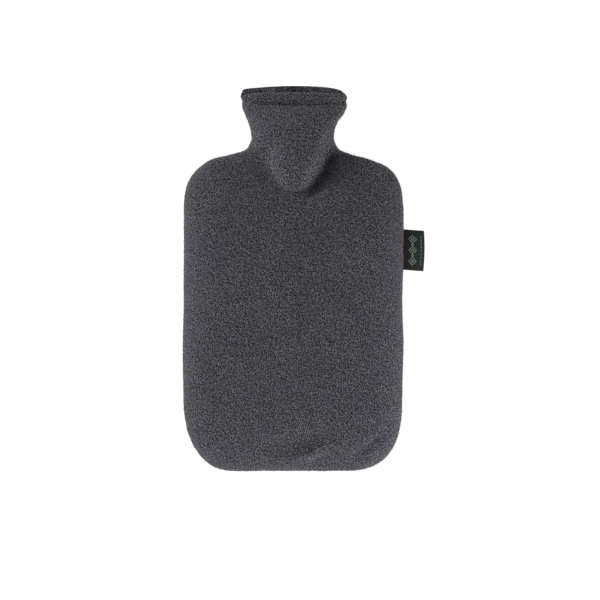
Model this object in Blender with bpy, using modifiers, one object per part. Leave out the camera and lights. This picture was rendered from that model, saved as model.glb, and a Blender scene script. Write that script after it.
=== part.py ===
"""A fleece cover for a hot water bottle, lying on its back, filled out to the shape it is worn in.

Metres, +Z up. +Y runs from the bottom seam to the mouth, +X to the side with the label. The origin
is on the rest plane under the middle of the body. The cover is two sheets of fleece that meet in a
seam down both sides and round the bottom. It is hollow and open at the mouth.

Lengths in the tables are millimetres, and MM turns them into metres.
"""

import math
from collections import namedtuple

import bmesh
import bpy
import numpy as np

MM = 0.001

COLLECTION_NAME = "hot_water_bottle_cover"

# The cloth.
CLOTH = 2.5  # one layer of fleece with its pile
HEM_CLOTH = 4.6  # the turned-in hem is two layers
SEAM_GAP = 0.3  # between the two panels, and between a panel and the label

# Where the cover lies.
SEAM_HEIGHT = 22.0

# Cross sections from the mouth down to where the bottom corners begin. left and right are the
# outline's distances from the centre line, top is the front panel's crown, under is how far the
# back panel stands off the rest plane, and reach is how far in from the seam the cloth turns over.
Section = namedtuple("Section", "y left right top under reach")
SECTIONS = (
    Section(161.0, 47.4, 49.4, 29.9, 14.1, 30.0),
    Section(158.0, 46.6, 48.8, 30.6, 13.4, 30.0),
    Section(155.5, 47.0, 49.4, 31.2, 12.8, 30.0),
    Section(153.0, 46.6, 48.8, 31.8, 12.2, 31.0),
    Section(147.0, 44.0, 46.0, 34.8, 9.4, 33.0),
    Section(140.0, 41.0, 40.4, 38.4, 6.0, 34.0),
    Section(132.5, 38.4, 37.6, 41.0, 3.5, 35.0),
    Section(125.0, 37.4, 36.7, 42.0, 2.0, 36.0),
    Section(118.0, 39.8, 39.2, 40.0, 1.2, 36.0),
    Section(114.5, 43.4, 42.4, 37.0, 0.8, 38.0),
    Section(111.0, 55.0, 51.6, 35.0, 0.4, 40.0),
    Section(107.0, 72.0, 67.4, 34.0, 0.2, 42.0),
    Section(100.0, 84.0, 84.6, 34.0, 0.0, 45.0),
    Section(93.0, 90.6, 92.0, 34.8, 0.0, 49.0),
    Section(86.0, 94.6, 95.8, 36.0, 0.0, 53.0),
    Section(78.0, 97.0, 98.2, 37.6, 0.0, 57.0),
    Section(60.0, 98.6, 99.8, 41.0, 0.0, 64.0),
    Section(20.0, 98.6, 99.6, 45.2, 0.0, 72.0),
    Section(-27.0, 98.6, 98.8, 46.0, 0.0, 74.0),
    Section(-65.0, 99.4, 99.4, 45.4, 0.0, 72.0),
    Section(-106.0, 99.2, 98.4, 43.6, 0.0, 66.0),
    Section(-175.0, 99.0, 98.4, 40.0, 0.0, 60.0),
)

# The bottom corners are quarter superellipses: how far they reach across and up, and their power.
BOTTOM_Y = -175.0
Corner = namedtuple("Corner", "across up power")
LEFT_CORNER = Corner(45.0, 68.0, 2.2)
RIGHT_CORNER = Corner(52.0, 62.0, 2.5)

# The lips stand up past the side seams: by a round arch, and by a squarer part whose corners have
# a power of their own on each side. The higher the power, the tighter the corner.
Lip = namedtuple("Lip", "arch square left_power right_power")
FRONT_LIP = Lip(0.8, 3.8, 5.0, 4.0)
BACK_LIP = Lip(3.5, 9.0, 22.0, 9.0)
LIP_FOOT_Y = 155.5  # below this the rows run straight across

# The bottle's neck stands out under the front panel and ends in a rounded nose on the body.
Ridge = namedtuple("Ridge", "y centre half_width top")
NECK_RIDGE = (
    Ridge(150.0, 0.0, 30.0, 22.0),
    Ridge(130.0, 0.0, 34.0, 38.0),
    Ridge(118.0, 0.5, 37.0, 42.0),
    Ridge(108.0, 1.5, 37.0, 43.0),
    Ridge(100.0, 1.5, 35.0, 43.5),
    Ridge(92.0, 1.8, 31.0, 43.5),
    Ridge(84.0, 2.8, 25.0, 42.5),
    Ridge(74.0, 4.6, 20.0, 42.2),
    Ridge(62.0, 6.0, 14.0, 42.0),
)
NOSE_ROUNDING = 26.0  # length over which the ridge's end rounds down onto the body
RIDGE_BLEND = 3.0

# Soft ridges and troughs of the front panel: where the middle lies, the length and width of the
# fold, its turn from +X towards +Y in degrees, and how far it stands up, or down where negative.
Fold = namedtuple("Fold", "x y length width turn height")
FRONT_FOLDS = (
    Fold(25.0, 124.0, 18.0, 5.0, 76.0, 1.3),  # right side of the neck
    Fold(-21.0, 118.0, 18.0, 6.0, 105.0, -0.5),  # left side of the neck
    Fold(32.5, 104.0, 13.0, 6.5, 80.0, -5.2),  # right crease of the neck, beside the tube
    Fold(23.0, 85.0, 12.0, 6.0, 48.0, -4.6),  # that crease turning in under the nose
    Fold(46.0, 106.0, 10.0, 5.0, -30.0, -2.6),  # where it runs out along the shoulder
    Fold(-23.0, 94.0, 18.0, 7.0, 128.0, -1.6),  # left crease of the nose
    Fold(20.0, 64.0, 18.0, 8.0, 10.0, 1.6),  # swell under the nose
    Fold(84.0, 88.0, 7.0, 5.0, 60.0, -1.6),  # dent in the right shoulder
    Fold(0.0, -148.0, 26.0, 7.0, 12.0, -3.0),  # hollow over the bottom crease
    Fold(12.0, -160.0, 22.0, 4.5, 26.0, 3.0),  # ridge of the bottom crease
    Fold(70.0, -148.0, 24.0, 4.5, 38.0, -1.6),  # inside the bottom right corner
)

# Mesh density.
# The grids of points. Below the hem's own rows, each span of a side seam has so many rows down to
# a share of the seam's length.
FRONT_COLUMNS = 28
BACK_COLUMNS = 16
EDGE_CROWDING = 0.5  # how strongly the columns crowd towards the seams
HEM_ROWS = (0.0, 2.0, 4.6, 6.5, 8.0, 11.5)  # down the side seam from the mouth
RowSpan = namedtuple("RowSpan", "share rows")
ROW_SPANS = (
    RowSpan(0.45, 26),
    RowSpan(0.85, 11),
    RowSpan(1.0, 7),
)

# The label: a strip of woven ribbon folded in two and caught in the side seam.
LABEL_OUT = 18.0
LABEL_LENGTH = 36.5
LABEL_MIDDLE_Y = 24.5
LABEL_CLOTH = 1.0
LABEL_CELLS = (8, 12)
LABEL_DROOP = 1.6
LABEL_TWIST = 1.4

Finish = namedtuple("Finish", "colour roughness")
FLEECE = Finish((0.066, 0.062, 0.074, 1.0), 0.95)
RIBBON = Finish((0.012, 0.030, 0.026, 1.0), 0.55)


def lookup(rows, column, y):
    """A table's column at heights y, by cubic pieces that never overshoot the rows."""
    ordered = sorted(rows, key=lambda row: row.y)
    ys = np.array([row.y for row in ordered])
    values = np.array([getattr(row, column) for row in ordered])
    slopes = np.diff(values) / np.diff(ys)
    tangents = np.zeros_like(values)
    same_way = slopes[:-1] * slopes[1:] > 0
    harmonic = 2 * slopes[:-1] * slopes[1:] / np.where(same_way, slopes[:-1] + slopes[1:], 1.0)
    tangents[1:-1] = np.where(same_way, harmonic, 0.0)
    y = np.clip(np.asarray(y, dtype=float), ys[0], ys[-1])
    at = np.clip(np.searchsorted(ys, y) - 1, 0, len(ys) - 2)
    span = ys[at + 1] - ys[at]
    t = (y - ys[at]) / span
    return (
        values[at] * (1 + 2 * t) * (1 - t) ** 2
        + tangents[at] * span * t * (1 - t) ** 2
        + values[at + 1] * t**2 * (3 - 2 * t)
        + tangents[at + 1] * span * t**2 * (t - 1)
    )


def soft_hill(t):
    """1 at t = 0 falling to 0 at t = 1, level at both ends."""
    return (1 - np.clip(t, 0, 1) ** 2.5) ** 1.5


def quarter_arc(t, power):
    """1 at t = 0 falling to 0 at t = 1, round like a quarter of a superellipse."""
    return (1 - np.clip(t, 0, 1) ** power) ** (1 / power)


def smooth_step(t):
    t = np.clip(t, 0, 1)
    return t * t * (3 - 2 * t)


def side_x(y, side):
    """The outline's x at heights y: side is -1 for the left and 1 for the right."""
    column, corner = ("left", LEFT_CORNER) if side < 0 else ("right", RIGHT_CORNER)
    down = (BOTTOM_Y + corner.up - y) / corner.up
    cut = corner.across * (1 - quarter_arc(down, corner.power))
    return side * (lookup(SECTIONS, column, y) - cut)


def bottom_y(x):
    """The outline's lowest edge at positions x."""
    depth = np.zeros_like(x)
    for side, corner in ((-1, LEFT_CORNER), (1, RIGHT_CORNER)):
        flat_end = abs(side_x(np.array(BOTTOM_Y), side))
        past = (side * x - flat_end) / corner.across
        depth += corner.up * (1 - quarter_arc(past, corner.power))
    return BOTTOM_Y + depth


def side_line(side, count=400):
    """Points down one side seam, from the mouth to the middle of the bottom corner."""
    corner = LEFT_CORNER if side < 0 else RIGHT_CORNER
    middle = corner.up * (1 - 0.5 ** (1 / corner.power))
    y = np.linspace(SECTIONS[0].y, BOTTOM_Y + middle, count)
    return np.stack([side_x(y, side), y], axis=1)


def walked(line):
    """Distance along a line of points."""
    steps = np.linalg.norm(np.diff(line, axis=0), axis=1)
    return np.concatenate([[0.0], np.cumsum(steps)])


def row_ends(side):
    """Where the rows meet one side seam."""
    line = side_line(side)
    way = walked(line)
    stops = list(HEM_ROWS)
    for span in ROW_SPANS:
        stops.extend(np.linspace(stops[-1], span.share * way[-1], span.rows + 1)[1:])
    return np.stack([np.interp(stops, way, line[:, i]) for i in (0, 1)], axis=1)


def plan_grid(lip, columns):
    """x and y of every grid point of a panel, as rows from the mouth to the bottom seam."""
    left, right = row_ends(-1), row_ends(1)
    s = np.linspace(-1, 1, columns + 1)
    u = (1 - EDGE_CROWDING) * s + EDGE_CROWDING * np.sin(s * math.pi / 2)
    across = (u + 1) / 2
    x = left[:, :1] + (right[:, :1] - left[:, :1]) * across
    y = left[:, 1:] + (right[:, 1:] - left[:, 1:]) * across

    mouth_pull = smooth_step((y - LIP_FOOT_Y) / (SECTIONS[0].y - LIP_FOOT_Y))
    bottom_pull = np.clip((-30.0 - y[:, :1]) / (-30.0 - y[-1, 0]), 0, 1) ** 2
    sag = bottom_y(x[-1]) - y[-1]
    power = np.where(u < 0, lip.left_power, lip.right_power)
    lift = lip.arch * (1 - u**2) + lip.square * (1 - np.abs(u) ** power)
    return x, y + mouth_pull * lift + bottom_pull * sag


def seam_distance(x, y):
    """How far each point is from the seam that runs down both sides and round the bottom."""
    left, right = side_line(-1), side_line(1)
    bottom_x = np.linspace(left[-1, 0], right[-1, 0], 200)[1:-1]
    bottom = np.stack([bottom_x, bottom_y(bottom_x)], axis=1)
    line = np.concatenate([left, bottom, right[::-1]])
    start, step = line[:-1], np.diff(line, axis=0)
    points = np.stack([x.ravel(), y.ravel()], axis=1)
    nearest = np.full(len(points), np.inf)
    for a, d in zip(start, step):
        along = np.clip((points - a) @ d / (d @ d), 0, 1)
        nearest = np.minimum(nearest, np.linalg.norm(points - a - along[:, None] * d, axis=1))
    return nearest.reshape(x.shape)


def fold_heights(folds, x, y):
    """The sum of the table's soft ridges and troughs."""
    total = np.zeros_like(x)
    for fold in folds:
        turn = math.radians(fold.turn)
        along = (x - fold.x) * math.cos(turn) + (y - fold.y) * math.sin(turn)
        across = (y - fold.y) * math.cos(turn) - (x - fold.x) * math.sin(turn)
        total += fold.height * np.exp(-((along / fold.length) ** 2) - (across / fold.width) ** 2)
    return total


def neck_ridge(x, y):
    """Height of the bottle's neck over the seam plane, 0 where it doesn't reach."""
    off = np.abs(x - lookup(NECK_RIDGE, "centre", y)) / lookup(NECK_RIDGE, "half_width", y)
    nose_y = NECK_RIDGE[-1].y
    into_nose = (nose_y + NOSE_ROUNDING - y) / NOSE_ROUNDING
    rise = lookup(NECK_RIDGE, "top", y) - SEAM_HEIGHT
    return rise * soft_hill(off) * soft_hill(into_nose)


def front_height(x, y):
    """The front panel's outer surface."""
    distance = seam_distance(x, y)
    fullness = quarter_arc(1 - distance / lookup(SECTIONS, "reach", y), 2.2)
    pillow = (lookup(SECTIONS, "top", y) - SEAM_HEIGHT) * fullness
    ridge = neck_ridge(x, y)
    blend = RIDGE_BLEND * fullness
    union = (pillow + ridge + np.sqrt((pillow - ridge) ** 2 + blend**2) - blend) / 2
    return SEAM_HEIGHT + SEAM_GAP / 2 + union + fold_heights(FRONT_FOLDS, x, y) * fullness


def back_height(x, y):
    """The back panel's outer surface. It lies flat on the rest plane inside the turned-up edge."""
    distance = seam_distance(x, y)
    fullness = quarter_arc(1 - distance / 30.0, 2.2)
    seam = SEAM_HEIGHT - SEAM_GAP / 2
    return seam - (seam - lookup(SECTIONS, "under", y)) * fullness


def grid_normals(points):
    """Unit normals of a grid of points, pointing to the side where rows x columns turn right."""
    down = np.gradient(points, axis=0)
    across = np.gradient(points, axis=1)
    normal = np.cross(down, across)
    return normal / np.linalg.norm(normal, axis=2, keepdims=True)


def inward_in_plan(line, turn):
    """Unit steps into the panel, square to a seam that runs along a line of points."""
    along = np.gradient(line[:, :2], axis=0)
    along /= np.linalg.norm(along, axis=1, keepdims=True)
    return turn * np.stack([-along[:, 1], along[:, 0], np.zeros(len(line))], axis=1)


def inner_grid(outer, side):
    """The cloth's inner face: the outer one moved in by the cloth's thickness. At the seam it moves
    straight in, so that the panel's edge is level, and nowhere does it cross the seam plane."""
    hem = np.arange(len(outer)) < len(HEM_ROWS) - 2
    thickness = np.where(hem, HEM_CLOTH, CLOTH)[:, None, None]
    normal = grid_normals(outer)
    inward = -normal * np.where(normal[..., 2:] < 0, -side, side)
    inward[:, 0] = inward_in_plan(outer[:, 0], 1)
    inward[:, -1] = inward_in_plan(outer[:, -1], -1)
    inward[-1] = inward_in_plan(outer[-1], 1)
    inner = outer + inward * thickness
    edge = outer[0, 0, 2]
    inner[..., 2] = np.maximum(inner[..., 2], edge) if side > 0 else np.minimum(inner[..., 2], edge)
    return inner


def shell_mesh(name, outer, inner):
    """A closed shell between two grids of points with the same rows and columns."""
    mesh = bpy.data.meshes.new(name)
    bm = bmesh.new()
    skins = [[[bm.verts.new(point * MM) for point in row] for row in grid] for grid in (outer, inner)]
    rows, columns = outer.shape[:2]
    for skin in skins:
        for i in range(rows - 1):
            for j in range(columns - 1):
                bm.faces.new((skin[i][j], skin[i + 1][j], skin[i + 1][j + 1], skin[i][j + 1]))
    rim = (
        [(0, j) for j in range(columns)]
        + [(i, columns - 1) for i in range(1, rows)]
        + [(rows - 1, j) for j in range(columns - 2, -1, -1)]
        + [(i, 0) for i in range(rows - 2, 0, -1)]
    )
    for (i, j), (k, m) in zip(rim, rim[1:] + rim[:1]):
        bm.faces.new((skins[0][i][j], skins[0][k][m], skins[1][k][m], skins[1][i][j]))
    bmesh.ops.recalc_face_normals(bm, faces=bm.faces)
    bm.to_mesh(mesh)
    bm.free()
    mesh.shade_smooth()
    mesh.set_sharp_from_angle(angle=math.radians(50))
    return mesh


def material(name, finish):
    made = bpy.data.materials.new(name)
    made.use_nodes = True
    shader = made.node_tree.nodes["Principled BSDF"]
    shader.inputs["Base Color"].default_value = finish.colour
    shader.inputs["Roughness"].default_value = finish.roughness
    shader.inputs["Metallic"].default_value = 0.0
    return made


def panel(name, lip, height, side, columns, collection, cloth):
    """One fleece panel: side is 1 for the front and -1 for the back."""
    x, y = plan_grid(lip, columns)
    outer = np.stack([x, y, height(x, y)], axis=2)
    mesh = shell_mesh(name, outer, inner_grid(outer, side))
    mesh.materials.append(cloth)
    made = bpy.data.objects.new(name, mesh)
    collection.objects.link(made)
    return made


def side_label(collection, ribbon):
    """The folded ribbon label, standing out of the right side seam with a slight twist."""
    mesh = bpy.data.meshes.new("side_label")
    bm = bmesh.new()
    bmesh.ops.create_grid(bm, x_segments=LABEL_CELLS[0], y_segments=LABEL_CELLS[1], size=0.5)
    for vert in bm.verts:
        out = vert.co.x + 0.5
        y = LABEL_MIDDLE_Y + vert.co.y * LABEL_LENGTH
        seam_x = float(side_x(np.array(y), 1)) + SEAM_GAP
        droop = LABEL_DROOP * math.sin(out * math.pi * 0.8)
        twist = LABEL_TWIST * out * vert.co.y * 2
        vert.co = (
            (seam_x + out * LABEL_OUT) * MM,
            y * MM,
            (SEAM_HEIGHT - droop + twist) * MM,
        )
    bm.to_mesh(mesh)
    bm.free()
    mesh.materials.append(ribbon)
    made = bpy.data.objects.new("side_label", mesh)
    collection.objects.link(made)
    thickness = made.modifiers.new("two layers of ribbon", "SOLIDIFY")
    thickness.thickness = LABEL_CLOTH * MM
    thickness.offset = 0.0
    return made


def main():
    for old in list(bpy.data.objects):
        bpy.data.objects.remove(old)
    collection = bpy.data.collections.new(COLLECTION_NAME)
    bpy.context.scene.collection.children.link(collection)
    front_fleece = material("front fleece", FLEECE)
    back_fleece = material("back fleece", FLEECE)
    panel("front_panel", FRONT_LIP, front_height, 1, FRONT_COLUMNS, collection, front_fleece)
    panel("back_panel", BACK_LIP, back_height, -1, BACK_COLUMNS, collection, back_fleece)
    side_label(collection, material("label ribbon", RIBBON))


main()
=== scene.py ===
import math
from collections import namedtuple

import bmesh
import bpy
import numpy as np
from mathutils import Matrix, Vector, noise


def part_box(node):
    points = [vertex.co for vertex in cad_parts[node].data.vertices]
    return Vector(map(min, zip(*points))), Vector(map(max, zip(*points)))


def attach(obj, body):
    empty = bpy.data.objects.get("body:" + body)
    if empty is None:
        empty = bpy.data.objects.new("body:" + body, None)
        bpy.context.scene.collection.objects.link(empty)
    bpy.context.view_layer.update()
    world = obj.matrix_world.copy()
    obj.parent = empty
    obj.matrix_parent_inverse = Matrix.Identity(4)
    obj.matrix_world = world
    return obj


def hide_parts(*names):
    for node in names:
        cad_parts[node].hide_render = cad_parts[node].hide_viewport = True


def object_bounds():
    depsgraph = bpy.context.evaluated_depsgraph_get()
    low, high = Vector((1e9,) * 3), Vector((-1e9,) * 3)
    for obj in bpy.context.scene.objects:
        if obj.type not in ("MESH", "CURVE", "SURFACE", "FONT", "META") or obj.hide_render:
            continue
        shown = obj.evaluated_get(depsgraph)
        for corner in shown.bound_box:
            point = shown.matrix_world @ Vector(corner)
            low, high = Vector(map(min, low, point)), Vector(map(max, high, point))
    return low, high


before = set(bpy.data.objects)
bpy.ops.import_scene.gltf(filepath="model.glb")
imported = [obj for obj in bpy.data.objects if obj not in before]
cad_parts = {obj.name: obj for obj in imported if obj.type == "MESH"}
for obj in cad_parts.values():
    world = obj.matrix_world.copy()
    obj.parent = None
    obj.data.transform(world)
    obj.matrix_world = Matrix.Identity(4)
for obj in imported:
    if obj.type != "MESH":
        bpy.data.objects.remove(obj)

# The looks of a fleece hot water bottle cover that lies on its back.
#
# The two panels are rebuilt as fine sheets close to the surface of their solids, with rolled
# lips, a stitched hem, a pulled-in seam and a pebbled pile. Loose fibres, hem stitches and the
# label's motif are small meshes of their own. Tables are in millimetres, and MM turns them into
# the frame's metres.

MM = 0.001
cad_low, cad_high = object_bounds()
front_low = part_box("front_panel")[0]
back_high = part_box("back_panel")[1]

# ------------------------------------------------------------------------------------------------
# The shape of the cover. The tables are those of its solids, apart from the last three ridges,
# the right crease, its turn under the nose and the two folds over the bottom seam, which are
# a little wider, deeper, shallower or higher here.

SEAM_GAP = (front_low.z - back_high.z) / MM
SEAM_HEIGHT = (front_low.z + back_high.z) / 2 / MM
BOTTOM_Y = front_low.y / MM

Section = namedtuple("Section", "y left right top under reach")
SECTIONS = (
    Section(161.0, 47.4, 49.4, 29.9, 14.1, 30.0),
    Section(158.0, 46.6, 48.8, 30.6, 13.4, 30.0),
    Section(155.5, 47.0, 49.4, 31.2, 12.8, 30.0),
    Section(153.0, 46.6, 48.8, 31.8, 12.2, 31.0),
    Section(147.0, 44.0, 46.0, 34.8, 9.4, 33.0),
    Section(140.0, 41.0, 40.4, 38.4, 6.0, 34.0),
    Section(132.5, 38.4, 37.6, 41.0, 3.5, 35.0),
    Section(125.0, 37.4, 36.7, 42.0, 2.0, 36.0),
    Section(118.0, 39.8, 39.2, 40.0, 1.2, 36.0),
    Section(114.5, 43.4, 42.4, 37.0, 0.8, 38.0),
    Section(111.0, 55.0, 51.6, 35.0, 0.4, 40.0),
    Section(107.0, 72.0, 67.4, 34.0, 0.2, 42.0),
    Section(100.0, 84.0, 84.6, 34.0, 0.0, 45.0),
    Section(93.0, 90.6, 92.0, 34.8, 0.0, 49.0),
    Section(86.0, 94.6, 95.8, 36.0, 0.0, 53.0),
    Section(78.0, 97.0, 98.2, 37.6, 0.0, 57.0),
    Section(60.0, 98.6, 99.8, 41.0, 0.0, 64.0),
    Section(20.0, 98.6, 99.6, 45.2, 0.0, 72.0),
    Section(-27.0, 98.6, 98.8, 46.0, 0.0, 74.0),
    Section(-65.0, 99.4, 99.4, 45.4, 0.0, 72.0),
    Section(-106.0, 99.2, 98.4, 43.6, 0.0, 66.0),
    Section(-175.0, 99.0, 98.4, 40.0, 0.0, 60.0),
)
MOUTH_Y = SECTIONS[0].y
BACK_REACH = 30.0
EDGE_POWER = 2.2

Corner = namedtuple("Corner", "across up power")
LEFT_CORNER = Corner(45.0, 68.0, 2.2)
RIGHT_CORNER = Corner(52.0, 62.0, 2.5)

Lip = namedtuple("Lip", "arch square left_power right_power")
FRONT_LIP = Lip(0.8, 3.8, 5.0, 4.0)
BACK_LIP = Lip(3.5, 9.0, 22.0, 9.0)
LIP_FOOT_Y = 155.5

Ridge = namedtuple("Ridge", "y centre half_width top")
NECK_RIDGE = (
    Ridge(150.0, 0.0, 30.0, 22.0),
    Ridge(130.0, 0.0, 34.0, 38.0),
    Ridge(118.0, 0.5, 37.0, 42.0),
    Ridge(108.0, 1.5, 37.0, 43.0),
    Ridge(100.0, 1.5, 35.0, 43.5),
    Ridge(92.0, 1.8, 31.0, 43.5),
    Ridge(84.0, 2.8, 27.0, 42.5),
    Ridge(74.0, 4.6, 23.0, 42.2),
    Ridge(62.0, 6.0, 18.0, 42.0),
)
NOSE_ROUNDING = 26.0
RIDGE_BLEND = 3.0

Fold = namedtuple("Fold", "x y length width turn height")
FRONT_FOLDS = (
    Fold(25.0, 124.0, 18.0, 5.0, 76.0, 1.3),  # right side of the neck
    Fold(-21.0, 118.0, 18.0, 6.0, 105.0, -0.5),  # left side of the neck
    Fold(32.5, 104.0, 13.0, 7.5, 80.0, -6.0),  # right crease of the neck, beside the tube
    Fold(23.0, 84.0, 14.0, 7.0, 48.0, -5.8),  # that crease turning in under the nose
    Fold(46.0, 106.0, 10.0, 5.0, -30.0, -2.6),  # where it runs out along the shoulder
    Fold(-23.0, 94.0, 18.0, 7.0, 128.0, -1.6),  # left crease of the nose
    Fold(20.0, 64.0, 18.0, 8.0, 10.0, 1.6),  # swell under the nose
    Fold(84.0, 88.0, 7.0, 5.0, 60.0, -1.6),  # dent in the right shoulder
    Fold(0.0, -148.0, 27.0, 8.0, 12.0, -2.5),  # hollow over the bottom crease
    Fold(12.0, -160.0, 22.0, 4.5, 26.0, 3.4),  # ridge of the bottom crease
    Fold(70.0, -148.0, 24.0, 4.5, 38.0, -1.6),  # inside the bottom right corner
)

# ------------------------------------------------------------------------------------------------
# The cloth's finer sizes.

CLOTH = 2.4  # one layer of fleece
LIP_ROLL = 2.2  # radius of the rolled edge of the hem
LIP_STEPS = 6
HEM_DEPTH = 10.5  # of the turned-in layer inside
HEM_LINE_Y = 154.3  # where the stitched line crosses the middle of the neck
HEM_LINE_RISE = 3.2  # how much higher it ends
HEM_LINE_REACH = 47.0
HEM_GROOVE = 1.3
HEM_GROOVE_WIDTH = 2.2
HEM_SWELL = 0.7
LIP_ROLL_ROOM = LIP_ROLL * 0.8  # the lips' edges are lowered by this to leave room for the roll
LIP_FLARE = 0.03  # how much wider the lips are past the ends of the side seams
FLARE_START = 3.0
FLARE_LENGTH = 5.0
BACK_LIP_CURL = 6.4  # how far the back lip curls up against the front one
BACK_LIP_CURL_Y = 154.0  # where the curl begins
BACK_LIP_CURL_LENGTH = 9.0
SEAM_PULL = 1.3  # how far the side seam is drawn in
SEAM_PULL_REACH = 1.6

COLUMNS = 240  # a multiple of INNER_STEP
ROWS = 345  # a multiple of INNER_STEP
INNER_STEP = 3  # the inner face has one cell for this many of the outer one
EDGE_CROWDING = 0.65
ROW_BEND_Y = -30.0  # below this the rows bend towards the bottom's outline

Lump = namedtuple("Lump", "size height seed")
PILE_LUMPS = (
    Lump(30.0, 0.50, 11.0),  # uneven filling
    Lump(9.0, 0.20, 23.0),  # cloth that isn't quite smooth
    Lump(1.9, 0.42, 37.0),  # curled clumps of pile
)

# The folded ribbon label.
LABEL_OUT = 18.2
LABEL_LENGTH = 36.5
LABEL_MIDDLE_Y = 25.0
LABEL_TUCK = 1.2  # how far its root reaches in under the rims of the panels
LABEL_LEAN = -1.4  # how far its outer edge lies below its root
LABEL_BOW = 0.7
LABEL_DROOP = 1.6
LABEL_TWIST = 1.4
LABEL_RIPPLE = 0.25
LABEL_LOOP = 0.9  # over both layers at the fold
LABEL_OPEN = 0.35
RIBBON_CLOTH = 0.3
LABEL_STEPS_OUT = 26
LABEL_STEPS_ALONG = 60
LABEL_FOLD_STEPS = 9
LABEL_UV_SPAN = 80.0

# The label's woven motif: lozenges, as shares of the label out from the seam and along it.
Lozenge = namedtuple("Lozenge", "out along half_out half_along")
MOTIF = (
    Lozenge(0.46, -0.27, 0.17, 0.095),
    Lozenge(0.46, 0.0, 0.17, 0.095),
    Lozenge(0.46, 0.27, 0.17, 0.095),
    Lozenge(0.46, -0.27, 0.06, 0.035),
    Lozenge(0.46, 0.0, 0.06, 0.035),
    Lozenge(0.46, 0.27, 0.06, 0.035),
    Lozenge(0.46, -0.135, 0.05, 0.022),
    Lozenge(0.46, 0.135, 0.05, 0.022),
)
MOTIF_RULE = 0.84  # where the dashed rule lies, as a share of the label
RIBBON_RIBS = 90.0
MOTIF_THREAD = 0.2
MOTIF_CLEAR = 0.05  # from the ribbon to the middle of a motif thread
THREAD_SIDES = 6
STITCH_PITCH = 3.1
STITCH_START = 9.0
STITCH_LENGTH = 2.3
STITCH_THREAD = 0.22

UNFOLD_STEPS = 80
UV_SPAN = 500.0  # the side of the square of cloth that the UV map holds
BRUSHED_TURN = math.radians(58.0)  # which way the pile is brushed
BRUSHED_STRETCH = (1.35, 0.9, 1.0)
# The pits' near-black is painted shade standing in for the pile's self-shadowing; the tips carry the
# fleece's own colour.
PIT_SHADE_COLOUR = (0.0, 0.0, 0.001, 1.0)
TIP_COLOUR = (0.256, 0.249, 0.283, 1.0)

FIBRES = 19000
FIBRE_LENGTH = (1.1, 2.3)
FIBRE_RADIUS = 0.055
FIBRE_LEAN = 0.9

# ------------------------------------------------------------------------------------------------
# Surface formulas.


def lookup(rows, column, y):
    """A table's column at heights y, by cubic pieces that never overshoot the rows."""
    ordered = sorted(rows, key=lambda row: row.y)
    ys = np.array([row.y for row in ordered])
    values = np.array([getattr(row, column) for row in ordered])
    slopes = np.diff(values) / np.diff(ys)
    tangents = np.zeros_like(values)
    same_way = slopes[:-1] * slopes[1:] > 0
    harmonic = 2 * slopes[:-1] * slopes[1:] / np.where(same_way, slopes[:-1] + slopes[1:], 1.0)
    tangents[1:-1] = np.where(same_way, harmonic, 0.0)
    y = np.clip(np.asarray(y, dtype=float), ys[0], ys[-1])
    at = np.clip(np.searchsorted(ys, y) - 1, 0, len(ys) - 2)
    span = ys[at + 1] - ys[at]
    t = (y - ys[at]) / span
    return (
        values[at] * (1 + 2 * t) * (1 - t) ** 2
        + tangents[at] * span * t * (1 - t) ** 2
        + values[at + 1] * t**2 * (3 - 2 * t)
        + tangents[at + 1] * span * t**2 * (t - 1)
    )


def quarter_arc(t, power):
    """1 at t = 0 falling to 0 at t = 1, round like a quarter of a superellipse."""
    return (1 - np.clip(t, 0, 1) ** power) ** (1 / power)


def soft_hill(t):
    """1 at t = 0 falling to 0 at t = 1, level at both ends."""
    return (1 - np.clip(t, 0, 1) ** 2.5) ** 1.5


def smooth_step(t):
    t = np.clip(t, 0, 1)
    return t * t * (3 - 2 * t)


def side_x(y, side):
    """The outline's x at heights y: side is -1 for the left and 1 for the right."""
    column, corner = ("left", LEFT_CORNER) if side < 0 else ("right", RIGHT_CORNER)
    down = (BOTTOM_Y + corner.up - y) / corner.up
    cut = corner.across * (1 - quarter_arc(down, corner.power))
    return side * (lookup(SECTIONS, column, y) - cut)


def bottom_y(x):
    """The outline's lowest edge at positions x."""
    depth = np.zeros_like(x)
    for side, corner in ((-1, LEFT_CORNER), (1, RIGHT_CORNER)):
        flat_end = abs(side_x(np.array(BOTTOM_Y), side))
        past = (side * x - flat_end) / corner.across
        depth += corner.up * (1 - quarter_arc(past, corner.power))
    return BOTTOM_Y + depth


def side_line(side, count=240):
    """Points down one side seam, from the mouth to the middle of the bottom corner."""
    corner = LEFT_CORNER if side < 0 else RIGHT_CORNER
    middle = corner.up * (1 - 0.5 ** (1 / corner.power))
    y = np.linspace(MOUTH_Y, BOTTOM_Y + middle, count)
    return np.stack([side_x(y, side), y], axis=1)


def row_ends(side):
    """Where the rows meet one side seam, in even steps."""
    line = side_line(side)
    way = np.concatenate([[0.0], np.cumsum(np.linalg.norm(np.diff(line, axis=0), axis=1))])
    stops = np.linspace(0.0, way[-1], ROWS + 1)
    return np.stack([np.interp(stops, way, line[:, i]) for i in (0, 1)], axis=1)


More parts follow.
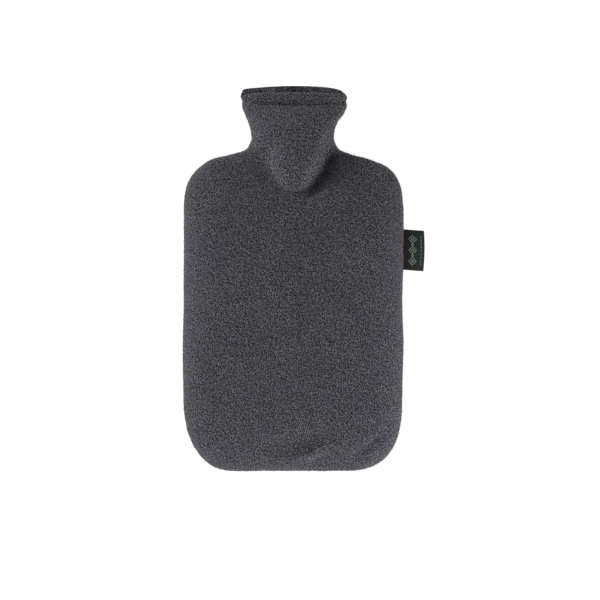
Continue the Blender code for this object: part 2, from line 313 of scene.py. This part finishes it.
def plan_grid(lip):
    """x and y of every grid point of a panel, as rows from the mouth to the bottom seam."""
    left, right = row_ends(-1), row_ends(1)
    s = np.linspace(-1, 1, COLUMNS + 1)
    u = (1 - EDGE_CROWDING) * s + EDGE_CROWDING * np.sin(s * math.pi / 2)
    across = (u + 1) / 2
    x = left[:, :1] + (right[:, :1] - left[:, :1]) * across
    y = left[:, 1:] + (right[:, 1:] - left[:, 1:]) * across
    mouth_pull = smooth_step((y - LIP_FOOT_Y) / (MOUTH_Y - LIP_FOOT_Y))
    bottom_pull = np.clip((ROW_BEND_Y - y[:, :1]) / (ROW_BEND_Y - y[-1, 0]), 0, 1) ** 2
    sag = bottom_y(x[-1]) - y[-1]
    power = np.where(u < 0, lip.left_power, lip.right_power)
    lift = lip.arch * (1 - u**2) + lip.square * (1 - np.abs(u) ** power)
    lift -= LIP_ROLL_ROOM * (1 - u**8)
    up = smooth_step((lift * mouth_pull - FLARE_START) / FLARE_LENGTH)
    return x * (1 + LIP_FLARE * up), y + mouth_pull * lift + bottom_pull * sag


def seam_reading(x, y):
    """Each point's distance to the seam, and the direction from the nearest seam into the panel."""
    left, right = side_line(-1), side_line(1)
    bottom_x = np.linspace(left[-1, 0], right[-1, 0], 200)[1:-1]
    bottom = np.stack([bottom_x, bottom_y(bottom_x)], axis=1)
    line = np.concatenate([left, bottom, right[::-1]])
    points = np.stack([x.ravel(), y.ravel()], axis=1)
    nearest = np.full(len(points), np.inf)
    inward = np.zeros_like(points)
    for a, d in zip(line[:-1], np.diff(line, axis=0)):
        along = np.clip((points - a) @ d / (d @ d), 0, 1)
        off = np.linalg.norm(points - a - along[:, None] * d, axis=1)
        closer = off < nearest
        nearest[closer] = off[closer]
        inward[closer] = np.array([-d[1], d[0]]) / np.linalg.norm(d)
    return nearest.reshape(x.shape), inward.reshape(x.shape + (2,))


def fold_heights(folds, x, y):
    """The sum of a table's soft ridges and troughs."""
    total = np.zeros_like(x)
    for fold in folds:
        turn = math.radians(fold.turn)
        along = (x - fold.x) * math.cos(turn) + (y - fold.y) * math.sin(turn)
        across = (y - fold.y) * math.cos(turn) - (x - fold.x) * math.sin(turn)
        total += fold.height * np.exp(-((along / fold.length) ** 2) - (across / fold.width) ** 2)
    return total


def neck_ridge(x, y):
    """Height of the bottle's neck over the seam plane, 0 where it doesn't reach."""
    off = np.abs(x - lookup(NECK_RIDGE, "centre", y)) / lookup(NECK_RIDGE, "half_width", y)
    into_nose = (NECK_RIDGE[-1].y + NOSE_ROUNDING - y) / NOSE_ROUNDING
    rise = lookup(NECK_RIDGE, "top", y) - SEAM_HEIGHT
    return rise * soft_hill(off) * soft_hill(into_nose)


def front_height(x, y, distance):
    """The front panel's outer surface."""
    fullness = quarter_arc(1 - distance / lookup(SECTIONS, "reach", y), EDGE_POWER)
    pillow = (lookup(SECTIONS, "top", y) - SEAM_HEIGHT) * fullness
    ridge = neck_ridge(x, y)
    blend = RIDGE_BLEND * fullness
    union = (pillow + ridge + np.sqrt((pillow - ridge) ** 2 + blend**2) - blend) / 2
    return SEAM_HEIGHT + SEAM_GAP / 2 + union + fold_heights(FRONT_FOLDS, x, y) * fullness


def back_height(x, y, distance):
    """The back panel's outer surface, flat on the rest plane inside its turned-up edge."""
    fullness = quarter_arc(1 - distance / BACK_REACH, EDGE_POWER)
    seam = SEAM_HEIGHT - SEAM_GAP / 2
    return seam - (seam - lookup(SECTIONS, "under", y)) * fullness


def unit(vectors):
    return vectors / np.maximum(np.linalg.norm(vectors, axis=-1, keepdims=True), 1e-9)


def grid_normals(points, side):
    """Unit normals of a grid of points that face up for side 1 and down for side -1."""
    normal = unit(np.cross(np.gradient(points, axis=1), np.gradient(points, axis=0)))
    return normal * np.where(normal[..., 2:] < 0, -side, side)


def unfolded(x, y, distance, inward, height, reach):
    """Where each point would lie in plan if the panel's curved edges were folded out flat."""
    t = np.linspace(1, 0, UNFOLD_STEPS) ** 3  # finest at the seam, where the edge is steepest
    drop = np.diff(quarter_arc(1 - t, EDGE_POWER))
    run = np.diff(t)
    surplus = np.zeros_like(x)
    for end, step, fall in zip(t[1:], run, drop):
        longer = np.hypot(step * reach, fall * height) - np.abs(step) * reach
        surplus += np.where(distance / reach <= end, longer, 0.0)
    return np.stack([x - inward[..., 0] * surplus, y - inward[..., 1] * surplus], axis=2)


def lumps(plan, table):
    """Uneven heights at unfolded points, from layers of noise."""
    flat = plan.reshape(-1, 2)
    total = np.zeros(len(flat))
    for lump in table:
        places = flat / lump.size + lump.seed
        total += lump.height * np.array([noise.noise(Vector((u, v, 0.0))) for u, v in places])
    return total.reshape(plan.shape[:-1])


# ------------------------------------------------------------------------------------------------
# Meshes.


def hem_line(x):
    """The hem's groove: a shallow smile across the neck."""
    return HEM_LINE_Y + HEM_LINE_RISE * np.abs(x / HEM_LINE_REACH) ** 3


def hem_profile(outer):
    """How far each point lies below the lip's edge, along its own column."""
    steps = np.linalg.norm(np.diff(outer, axis=0), axis=2)
    return np.concatenate([np.zeros((1, outer.shape[1])), np.cumsum(steps, axis=0)])


class Panel:
    """One fleece panel's outer and inner faces as grids of points, in millimetres."""

    def __init__(self, lip, height, side):
        self.side = side
        x, y = plan_grid(lip)
        distance, inward = seam_reading(x, y)
        z = height(x, y, distance)
        if side > 0:
            rise, reach = lookup(SECTIONS, "top", y) - SEAM_HEIGHT, lookup(SECTIONS, "reach", y)
        else:
            rise, reach = SEAM_HEIGHT - lookup(SECTIONS, "under", y), np.full_like(y, BACK_REACH)
        self.plan = unfolded(x, y, distance, inward, rise, reach)
        smooth = np.stack([x, y, z], axis=2)
        normal = grid_normals(smooth, side)
        # Where two seams meet, a few normals come out facing into the panel and are turned.
        facing_in = np.sum(normal[..., :2] * inward, axis=2)
        normal[(facing_in > 0.3) & (distance < 2.0)] *= -1
        self.below_lip = hem_profile(smooth)

        rise = np.abs(z - z[0, 0])
        pull = SEAM_PULL * np.exp(-((rise / SEAM_PULL_REACH) ** 2))
        plan_shift = np.concatenate([inward * pull[..., None], np.zeros(x.shape + (1,))], axis=2)
        fade = smooth_step(rise / 2.5)
        past_groove = y - hem_line(x)
        groove = HEM_GROOVE * np.exp(-((past_groove / HEM_GROOVE_WIDTH) ** 2))
        groove -= HEM_SWELL * np.exp(-(((past_groove - 4.6) / 3.2) ** 2))
        groove *= 0.3 + 0.7 * smooth_step(distance / 7.0)
        lift = lumps(self.plan, PILE_LUMPS) - groove
        if side < 0:
            lift *= np.clip(z / 3.0, 0.0, 1.0)
        self.outer = smooth + plan_shift + normal * (lift * fade)[..., None]
        self.curl = np.zeros_like(z)
        if side < 0:
            self.outer[..., 2] = np.maximum(self.outer[..., 2], 0.0)
            self.curl = BACK_LIP_CURL * smooth_step((y - BACK_LIP_CURL_Y) / BACK_LIP_CURL_LENGTH)
            self.curl *= smooth_step(distance / 10.0)
            self.outer[..., 2] += self.curl
        self.normal = normal
        self.lip_rows = self.rolled_lip()
        self.inner = self.inner_face()

    def lip_radius(self, points):
        """The lip's roll, thinner where the two panels come together at the seams."""
        room = smooth_step(np.abs(points[..., 2] - self.outer[0, 0, 2]) / 6.0)
        return LIP_ROLL * (0.15 + 0.85 * room)

    def rolled_lip(self):
        """Rows that carry the cloth over the lip's edge and back inside."""
        up = unit(self.outer[0] - self.outer[2])
        turns = np.linspace(0, math.pi, LIP_STEPS + 1)[1:]
        radius = self.lip_radius(self.outer[0])[:, None]
        centre = self.outer[0] - self.normal[0] * radius
        return np.stack([
            centre + up * radius * math.sin(t) + self.normal[0] * radius * math.cos(t)
            for t in turns
        ][::-1])

    def inner_face(self):
        """The coarser inner face, one cloth in, and two cloths in along the hem."""
        outer = self.outer[::INNER_STEP, ::INNER_STEP]
        below = self.below_lip[::INNER_STEP, ::INNER_STEP]
        normal = self.normal[::INNER_STEP, ::INNER_STEP]
        hem = 1 - smooth_step((below - HEM_DEPTH - 0.5) / 1.5)
        radius = self.lip_radius(outer)
        thickness = CLOTH + (2 * radius - CLOTH) * hem
        inner = outer - normal * thickness[..., None]
        edge = outer[0, 0, 2]
        if self.side > 0:
            inner[..., 2] = np.maximum(inner[..., 2], edge)
        else:
            curl = self.curl[::INNER_STEP, ::INNER_STEP]
            inner[..., 2] = np.minimum(inner[..., 2], edge + curl)
        return inner


def add_grid(bm, points):
    return [[bm.verts.new(Vector(p) * MM) for p in row] for row in points]


def fill_grid(bm, verts):
    for upper, lower in zip(verts, verts[1:]):
        for j in range(len(upper) - 1):
            bm.faces.new((upper[j], lower[j], lower[j + 1], upper[j + 1]))


def set_uv(mesh, places, span):
    """A UV map from flat places in millimetres, one for each vertex. span is the map's side."""
    corners = np.empty(len(mesh.loops), dtype=int)
    mesh.loops.foreach_get("vertex_index", corners)
    layer = mesh.uv_layers.new(name="flat")
    layer.data.foreach_set("uv", (0.5 + places[corners] / span).ravel())


def panel_mesh(name, panel):
    """A closed sheet: the outer face with its rolled lip, the inner face and the rim at the seam."""
    bm = bmesh.new()
    outer = add_grid(bm, np.concatenate([panel.lip_rows, panel.outer]))
    inner = add_grid(bm, panel.inner)
    fill_grid(bm, outer)
    fill_grid(bm, inner)
    lip = len(panel.lip_rows)
    last_row, last_column = len(outer) - 1, COLUMNS
    rows_in, columns_in = len(inner) - 1, COLUMNS // INNER_STEP
    for k in range(columns_in):
        fine = slice(k * INNER_STEP, (k + 1) * INNER_STEP + 1)
        bm.faces.new([*outer[0][fine], inner[0][k + 1], inner[0][k]])
        bm.faces.new([*outer[last_row][fine], inner[rows_in][k + 1], inner[rows_in][k]])
    for column, inner_column in ((0, 0), (last_column, columns_in)):
        rim = [row[column] for row in outer[: lip + 1]]
        bm.faces.new([*rim, inner[0][inner_column]])
        for k in range(rows_in):
            start = lip + k * INNER_STEP
            fine = [outer[i][column] for i in range(start, start + INNER_STEP + 1)]
            bm.faces.new([*fine, inner[k + 1][inner_column], inner[k][inner_column]])
    bmesh.ops.recalc_face_normals(bm, faces=bm.faces)
    mesh = bpy.data.meshes.new(name)
    bm.to_mesh(mesh)
    bm.free()
    mesh.shade_smooth()
    lip_step = LIP_ROLL * math.pi / LIP_STEPS
    over_lip = np.arange(len(panel.lip_rows), 0, -1)[:, None, None] * (0.0, lip_step)
    inner_plan = panel.plan[::INNER_STEP, ::INNER_STEP]
    parts = (panel.plan[0] + over_lip, panel.plan, inner_plan)
    set_uv(mesh, np.concatenate([part.reshape(-1, 2) for part in parts]), UV_SPAN)
    return mesh


def link(name, mesh, material):
    mesh.materials.append(material)
    made = bpy.data.objects.new(name, mesh)
    bpy.context.scene.collection.objects.link(made)
    return made


def fibre_mesh(name, panel, seed):
    """Short curled fibres that stand out of the pile, each a tapered three-sided stalk."""
    draw = np.random.default_rng(seed)
    points, normal = panel.outer, panel.normal
    corner = points[:-1, :-1]
    area = np.linalg.norm(
        np.cross(points[1:, :-1] - corner, points[:-1, 1:] - corner), axis=2
    )
    if panel.side < 0:
        area = area * (corner[..., 2] > 1.5)
    chance = (area / area.sum()).ravel()
    cells = draw.choice(len(chance), FIBRES, p=chance)
    row, column = np.divmod(cells, area.shape[1])
    down, along = draw.random((2, FIBRES, 1))
    base = (
        points[row, column]
        + (points[row + 1, column] - points[row, column]) * down
        + (points[row, column + 1] - points[row, column]) * along
    )
    out = normal[row, column]
    lean = unit(np.cross(out, draw.normal(size=(FIBRES, 3))))
    length = draw.uniform(*FIBRE_LENGTH, size=(FIBRES, 1))
    tilt = draw.uniform(0.2, FIBRE_LEAN, size=(FIBRES, 1))
    curl = unit(np.cross(out, lean)) * draw.normal(0.0, 0.35, size=(FIBRES, 1))
    middle = base + (out * 0.42 + lean * 0.30 * tilt + curl * 0.2) * length
    tip = base + (out * 0.55 + lean * 0.95 * tilt + curl) * length
    root = base - out * 0.3

    across = unit(np.cross(tip - root, out + 0.01))
    other = unit(np.cross(tip - root, across))
    turns = [0.0, 2 * math.pi / 3, 4 * math.pi / 3]
    rings = []
    for centre, radius in ((root, FIBRE_RADIUS), (middle, FIBRE_RADIUS * 0.8)):
        for t in turns:
            rings.append(centre + (across * math.cos(t) + other * math.sin(t)) * radius)
    verts = np.stack([*rings, tip], axis=1)
    verts[..., 2] = np.maximum(verts[..., 2], 0.0)  # none reaches below the surface
    pattern = np.array([
        (0, 1, 4), (0, 4, 3), (1, 2, 5), (1, 5, 4), (2, 0, 3), (2, 3, 5),
        (3, 4, 6), (4, 5, 6), (5, 3, 6), (0, 2, 1),
    ])
    faces = (pattern[None] + (np.arange(FIBRES) * verts.shape[1])[:, None, None]).reshape(-1, 3)
    mesh = bpy.data.meshes.new(name)
    mesh.from_pydata((verts.reshape(-1, 3) * MM).tolist(), [], faces.tolist())
    mesh.shade_smooth()
    return mesh


def label_point(out, along, above=0.0):
    """A point on the label's ribbon: out from the seam 0 to 1, along it -0.5 to 0.5, in millimetres."""
    y = LABEL_MIDDLE_Y + along * LABEL_LENGTH + LABEL_LEAN * out
    seam = side_x(y, 1) - LABEL_TUCK
    bow = LABEL_BOW * out * (1 - 4 * along**2)
    droop = LABEL_DROOP * np.sin(out * math.pi * 0.8)
    twist = LABEL_TWIST * out * along * 2
    ripple = LABEL_RIPPLE * np.sin(2.6 * math.pi * along + 0.6) * out
    return np.stack([
        seam + out * (LABEL_OUT + LABEL_TUCK) + bow,
        y,
        SEAM_HEIGHT - droop + twist + ripple + above,
    ], axis=-1)


def label_mesh():
    """The ribbon folded in two at its outer edge, as one bent strip with its own thickness."""
    turns = np.linspace(math.pi / 2, -math.pi / 2, LABEL_FOLD_STEPS)
    half = LABEL_LOOP / 2
    flat = np.linspace(0.0, 1.0 - half / LABEL_OUT, LABEL_STEPS_OUT)
    lens = 1 + LABEL_OPEN * np.sin(flat * math.pi)
    outs = np.concatenate([
        flat,
        flat[-1] + half * np.cos(turns[1:-1]) / LABEL_OUT,
        flat[::-1],
    ])
    above = np.concatenate([half * lens, half * np.sin(turns[1:-1]), -half * lens[::-1]])
    path = np.concatenate([[0.0], np.cumsum(np.hypot(np.diff(outs) * LABEL_OUT, np.diff(above)))])
    inward = unit(np.stack([np.gradient(above), -np.gradient(outs) * LABEL_OUT], axis=1))
    inner_outs = outs + inward[:, 0] * RIBBON_CLOTH / LABEL_OUT
    inner_above = above + inward[:, 1] * RIBBON_CLOTH
    along = np.linspace(-0.5, 0.5, LABEL_STEPS_ALONG)

    def sheet(out, height):
        out, wide = np.meshgrid(out, along, indexing="ij")
        return label_point(out, wide, np.broadcast_to(height[:, None], out.shape))

    bm = bmesh.new()
    outer = add_grid(bm, sheet(outs, above))
    inner = add_grid(bm, sheet(inner_outs, inner_above))
    fill_grid(bm, outer)
    fill_grid(bm, inner)
    for i in range(len(outs) - 1):
        for j in (0, -1):
            bm.faces.new((outer[i][j], outer[i + 1][j], inner[i + 1][j], inner[i][j]))
    for i in (0, -1):
        for j in range(LABEL_STEPS_ALONG - 1):
            bm.faces.new((outer[i][j], outer[i][j + 1], inner[i][j + 1], inner[i][j]))
    bmesh.ops.recalc_face_normals(bm, faces=bm.faces)
    mesh = bpy.data.meshes.new("ribbon_label")
    bm.to_mesh(mesh)
    bm.free()
    mesh.shade_smooth()
    mesh.set_sharp_from_angle(angle=math.radians(40))
    wide = np.broadcast_to(along * LABEL_LENGTH, (len(outs), LABEL_STEPS_ALONG))
    far = np.broadcast_to(path[:, None], wide.shape)
    set_uv(mesh, np.tile(np.stack([far, wide], axis=-1).reshape(-1, 2), (2, 1)), LABEL_UV_SPAN)
    return mesh


def threads_mesh(name, lines, radius):
    """Round threads along lines of points, joined in one mesh."""
    bm = bmesh.new()
    for line in lines:
        line = np.asarray(line)
        ahead = unit(np.gradient(line, axis=0))
        side = unit(np.cross(ahead, (0.0, 0.0, 1.0)) + 1e-6)
        over = np.cross(side, ahead)
        turns = np.arange(THREAD_SIDES) * 2 * math.pi / THREAD_SIDES
        rings = [
            [bm.verts.new(Vector(p + (s * math.cos(t) + o * math.sin(t)) * radius) * MM) for t in turns]
            for p, s, o in zip(line, side, over)
        ]
        for ring, after in zip(rings, rings[1:]):
            for k in range(THREAD_SIDES):
                m = (k + 1) % THREAD_SIDES
                bm.faces.new((ring[k], ring[m], after[m], after[k]))
        bm.faces.new(rings[0][::-1])
        bm.faces.new(rings[-1])
    bmesh.ops.recalc_face_normals(bm, faces=bm.faces)
    mesh = bpy.data.meshes.new(name)
    bm.to_mesh(mesh)
    bm.free()
    mesh.shade_smooth()
    return mesh


def hem_stitches(panel):
    """A line of short stitches sunk in the groove of a panel's hem."""
    x, y = panel.outer[..., 0], panel.outer[..., 1]
    row = np.argmin(np.abs(y - hem_line(x)), axis=0)
    column = np.arange(x.shape[1])
    groove, normal = panel.outer[row, column], panel.normal[row, column]
    way = np.concatenate([[0.0], np.cumsum(np.linalg.norm(np.diff(groove, axis=0), axis=1))])
    lines = []
    for start in np.arange(STITCH_START, way[-1] - STITCH_START, STITCH_PITCH):
        stops = start + np.linspace(0.0, STITCH_LENGTH, 5)
        arc = 0.25 * np.sin(np.linspace(0, math.pi, 5)) - 0.1
        at = np.stack([np.interp(stops, way, groove[:, k]) for k in range(3)], axis=1)
        out = np.stack([np.interp(stops, way, normal[:, k]) for k in range(3)], axis=1)
        lines.append(at + out * arc[:, None])
    return lines


def motif_line(out, along):
    """A line of points just above the label's upper layer."""
    bulge = LABEL_OPEN * LABEL_LOOP / 2 * np.sin(out * math.pi)
    return label_point(out, along, LABEL_LOOP / 2 + MOTIF_CLEAR + bulge)


def motif_lines():
    """Outlined lozenges down the label's middle, small ones between them, and a rule by its fold."""
    lines = []
    corners = ((0.0, -1.0), (1.0, 0.0), (0.0, 1.0), (-1.0, 0.0), (0.0, -1.0))
    for figure in MOTIF:
        ends = np.array(corners) * (figure.half_out, figure.half_along) + (figure.out, figure.along)
        stops = np.linspace(0, 4, 25)
        out = np.interp(stops, range(5), ends[:, 0])
        along = np.interp(stops, range(5), ends[:, 1])
        lines.append(motif_line(out, along))
    for dash in np.linspace(-0.34, 0.34, 9):
        along = dash + np.linspace(-0.026, 0.026, 4)
        out = np.full_like(along, MOTIF_RULE)
        lines.append(motif_line(out, along))
    return lines


# ------------------------------------------------------------------------------------------------
# Materials.


class Nodes:
    """A material's node tree, with a short way to add and join nodes."""

    def __init__(self, name):
        self.material = bpy.data.materials.new(name)
        self.material.use_nodes = True
        self.tree = self.material.node_tree
        self.shader = self.tree.nodes["Principled BSDF"]

    def add(self, kind, inputs=(), **settings):
        node = self.tree.nodes.new(kind)
        for key, value in settings.items():
            setattr(node, key, value)
        for key, value in dict(inputs).items():
            self.join(value, node.inputs[key])
        return node

    def join(self, value, socket):
        if isinstance(value, bpy.types.NodeSocket):
            self.tree.links.new(value, socket)
        else:
            socket.default_value = value

    def math(self, operation, a, b=0.0):
        return self.add("ShaderNodeMath", {0: a, 1: b}, operation=operation).outputs[0]

    def multiplied(self, a, b):
        """The product of two colours."""
        mix = {"Factor": 1.0, 6: a, 7: b}
        return self.add("ShaderNodeMix", mix, data_type="RGBA", blend_type="MULTIPLY").outputs[2]

    def ramp(self, factor, low, high, start=0.0, end=1.0):
        """A colour from low to high as factor goes from start to end."""
        node = self.add("ShaderNodeValToRGB", {"Fac": factor})
        first, last = node.color_ramp.elements
        first.position, first.color = start, low
        last.position, last.color = end, high
        return node.outputs["Color"]


def fleece_material(name, seed):
    """Dark purple-grey fleece: curled clumps under two millimetres across, with painted shade in their
    pits.
    """
    n = Nodes(name)
    place = n.add("ShaderNodeTexCoord").outputs["UV"]
    brushed = n.add(
        "ShaderNodeMapping",
        {
            "Vector": place,
            "Location": (seed, 0.0, 0.0),
            "Rotation": (0.0, 0.0, BRUSHED_TURN),
            "Scale": BRUSHED_STRETCH,
        },
        vector_type="TEXTURE",
    ).outputs[0]
    clumps = n.add(
        "ShaderNodeTexNoise",
        {"Vector": brushed, "Scale": 0.95 * UV_SPAN, "Detail": 0.0},
        noise_dimensions="2D",
    ).outputs["Fac"]
    strands = n.add(
        "ShaderNodeTexNoise",
        {"Vector": brushed, "Scale": 1.6 * UV_SPAN, "Detail": 0.0},
        noise_dimensions="2D",
    ).outputs["Fac"]
    tufts = n.add(
        "ShaderNodeTexVoronoi",
        {"Vector": brushed, "Scale": 1.5 * UV_SPAN},
        voronoi_dimensions="2D",
    ).outputs["Color"]
    pile = n.math("ADD", n.math("MULTIPLY", clumps, 0.5), n.math("MULTIPLY", strands, 0.5))
    patches = n.add("ShaderNodeTexNoise", {"Vector": place, "Scale": 12.0, "Detail": 2.0}).outputs["Fac"]

    # Painted shade: the pile's low places are coloured near black as if shadowed, its high places take the
    # fleece's colour.
    colour = n.ramp(pile, PIT_SHADE_COLOUR, TIP_COLOUR, 0.405, 0.645)
    tuft = n.add("ShaderNodeSeparateColor", {"Color": tufts}).outputs["Red"]
    colour = n.multiplied(colour, n.ramp(tuft, (0.35, 0.35, 0.35, 1.0), (1.65, 1.62, 1.68, 1.0)))
    tone = n.ramp(patches, (0.92, 0.92, 0.95, 1.0), (1.06, 1.04, 1.04, 1.0), 0.3, 0.7)
    mixed = n.multiplied(colour, tone)
    n.join(mixed, n.shader.inputs["Base Color"])
    bump = n.add("ShaderNodeBump", {"Height": pile, "Strength": 1.0, "Distance": 0.0030})
    n.join(bump.outputs["Normal"], n.shader.inputs["Normal"])
    n.shader.inputs["Roughness"].default_value = 0.95
    n.shader.inputs["Specular IOR Level"].default_value = 0.2
    n.shader.inputs["Sheen Weight"].default_value = 0.45
    n.shader.inputs["Sheen Roughness"].default_value = 0.4
    n.shader.inputs["Sheen Tint"].default_value = (0.62, 0.58, 0.66, 1.0)
    return n.material


def ribbon_material():
    """Dark green satin with fine threads along the ribbon, and painted shade that darkens it from the fold
    towards the seam.
    """
    n = Nodes("label ribbon")
    place = n.add("ShaderNodeTexCoord").outputs["UV"]
    weave = n.add(
        "ShaderNodeTexWave",
        {"Vector": place, "Scale": RIBBON_RIBS, "Distortion": 1.2, "Detail": 1.0},
        bands_direction="Y",
    ).outputs["Fac"]
    slubs = n.add(
        "ShaderNodeTexNoise",
        {"Vector": place, "Scale": 90.0, "Detail": 3.0},
        noise_dimensions="2D",
    ).outputs["Fac"]
    cloth = n.math("ADD", n.math("MULTIPLY", weave, 0.35), n.math("MULTIPLY", slubs, 0.65))
    colour = n.ramp(cloth, (0.030, 0.050, 0.047, 1.0), (0.066, 0.092, 0.088, 1.0), 0.25, 0.8)
    # Painted shade: the colour darkens from the fold towards the seam, standing in for the shadow under
    # the panels' rims.
    across = n.add("ShaderNodeSeparateXYZ", {"Vector": place}).outputs["X"]
    fold = 0.5 + LABEL_OUT / LABEL_UV_SPAN
    from_fold = n.math("ABSOLUTE", n.math("SUBTRACT", across, fold))
    shade = n.ramp(
        n.math("DIVIDE", from_fold, LABEL_OUT / LABEL_UV_SPAN),
        (0.92, 0.90, 0.90, 1.0),
        (0.07, 0.08, 0.09, 1.0),
        0.0,
        0.95,
    )
    n.join(n.multiplied(colour, shade), n.shader.inputs["Base Color"])
    bump = n.add("ShaderNodeBump", {"Height": cloth, "Strength": 0.5, "Distance": 0.00025})
    n.join(bump.outputs["Normal"], n.shader.inputs["Normal"])
    n.shader.inputs["Roughness"].default_value = 0.6
    n.shader.inputs["Specular IOR Level"].default_value = 0.2
    return n.material


def plain_material(name, colour, roughness):
    n = Nodes(name)
    n.shader.inputs["Base Color"].default_value = colour
    n.shader.inputs["Roughness"].default_value = roughness
    return n.material


def fibre_material():
    n = Nodes("loose fibres")
    place = n.add("ShaderNodeTexCoord").outputs["Object"]
    tone = n.add("ShaderNodeTexNoise", {"Vector": place, "Scale": 700.0, "Detail": 1.0}).outputs["Fac"]
    colour = n.ramp(tone, (0.060, 0.056, 0.068, 1.0), (0.15, 0.14, 0.16, 1.0), 0.3, 0.7)
    n.join(colour, n.shader.inputs["Base Color"])
    n.shader.inputs["Roughness"].default_value = 0.8
    n.shader.inputs["Sheen Weight"].default_value = 0.3
    return n.material


# ------------------------------------------------------------------------------------------------
# The studio.


def studio():
    scene = bpy.context.scene
    scene.view_settings.view_transform = "Standard"
    world = bpy.data.worlds.new("studio")
    scene.world = world
    world.use_nodes = True
    background = world.node_tree.nodes["Background"]
    background.inputs["Color"].default_value = (1.0, 1.0, 1.0, 1.0)
    rays = world.node_tree.nodes.new("ShaderNodeLightPath")
    strength = world.node_tree.nodes.new("ShaderNodeMapRange")
    strength.inputs["To Min"].default_value = 0.12
    strength.inputs["To Max"].default_value = 1.0
    world.node_tree.links.new(rays.outputs["Is Camera Ray"], strength.inputs["Value"])
    world.node_tree.links.new(strength.outputs["Result"], background.inputs["Strength"])

    mesh = bpy.data.meshes.new("floor")
    bm = bmesh.new()
    bmesh.ops.create_grid(bm, x_segments=1, y_segments=1, size=6.0)
    bm.to_mesh(mesh)
    bm.free()
    n = Nodes("floor")
    n.shader.inputs["Base Color"].default_value = (0.25, 0.25, 0.25, 1.0)
    n.shader.inputs["Roughness"].default_value = 0.9
    n.shader.inputs["Emission Color"].default_value = (1.0, 1.0, 1.0, 1.0)
    n.shader.inputs["Emission Strength"].default_value = 0.92
    floor = link("floor", mesh, n.material)
    floor.location.z = cad_low.z - 0.0002

    Light = namedtuple("Light", "name place aim width height power")
    lights = (
        Light("left", (-0.95, 0.22, 0.24), (-0.05, 0.0, 0.03), 0.7, 0.24, 9.7),
        Light("right", (0.95, -0.20, 0.18), (0.05, -0.05, 0.03), 0.7, 0.18, 7.7),
        Light("foot", (0.10, -1.00, 0.24), (0.0, -0.10, 0.03), 0.6, 0.24, 7.5),
        Light("head", (-0.30, 0.95, 0.28), (-0.02, 0.12, 0.03), 0.5, 0.2, 2.8),
        Light("overhead", (-0.5, 0.6, 1.5), (0.0, 0.0, 0.0), 0.6, 0.6, 1.2),
    )
    for light in lights:
        data = bpy.data.lights.new(light.name, "AREA")
        data.shape = "RECTANGLE"
        data.size, data.size_y = light.width, light.height
        data.energy = light.power
        lamp = bpy.data.objects.new(light.name, data)
        scene.collection.objects.link(lamp)
        lamp.location = light.place
        lamp.rotation_euler = (Vector(light.aim) - lamp.location).to_track_quat("-Z", "Y").to_euler()
        lamp.visible_camera = False

    data = bpy.data.cameras.new("camera")
    data.lens = 100.0
    data.sensor_width = 36.0
    camera = bpy.data.objects.new("camera", data)
    scene.collection.objects.link(camera)
    view_width = 0.540
    aim_x, aim_y = 0.0063, -0.0205
    distance = view_width * data.lens / data.sensor_width
    camera.location = (aim_x, aim_y, SEAM_HEIGHT * MM + distance)
    scene.camera = camera


# ------------------------------------------------------------------------------------------------
# Putting it together.


def build_cover():
    front = Panel(FRONT_LIP, front_height, 1)
    back = Panel(BACK_LIP, back_height, -1)
    fibres = fibre_material()
    thread = plain_material("hem thread", (0.030, 0.028, 0.034, 1.0), 0.8)
    rows = (
        ("fleece_front", "front_panel", "front_fleece", front, fleece_material("front fleece", 0.0), 5),
        ("fleece_back", "back_panel", "back_fleece", back, fleece_material("back fleece", 3.0), 6),
    )
    for name, node, slot, panel, material, seed in rows:
        sheet = link(name, panel_mesh(name, panel), material)
        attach(sheet, "root")
        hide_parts(node)
        pile_name = name.replace("fleece", "fibres")
        pile = link(pile_name, fibre_mesh(pile_name, panel, seed), fibres)
        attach(pile, "root")
        stitch_name = name.replace("fleece", "hem_stitches")
        stitches = link(stitch_name, threads_mesh(stitch_name, hem_stitches(panel), STITCH_THREAD), thread)
        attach(stitches, "root")


def build_label():
    label = link("ribbon_label", label_mesh(), ribbon_material())
    motif = link(
        "label_motif",
        threads_mesh("label_motif", motif_lines(), MOTIF_THREAD),
        plain_material("label thread", (0.42, 0.47, 0.45, 1.0), 0.6),
    )
    for made in (label, motif):
        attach(made, "root")
    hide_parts("side_label")


studio()
build_cover()
build_label()
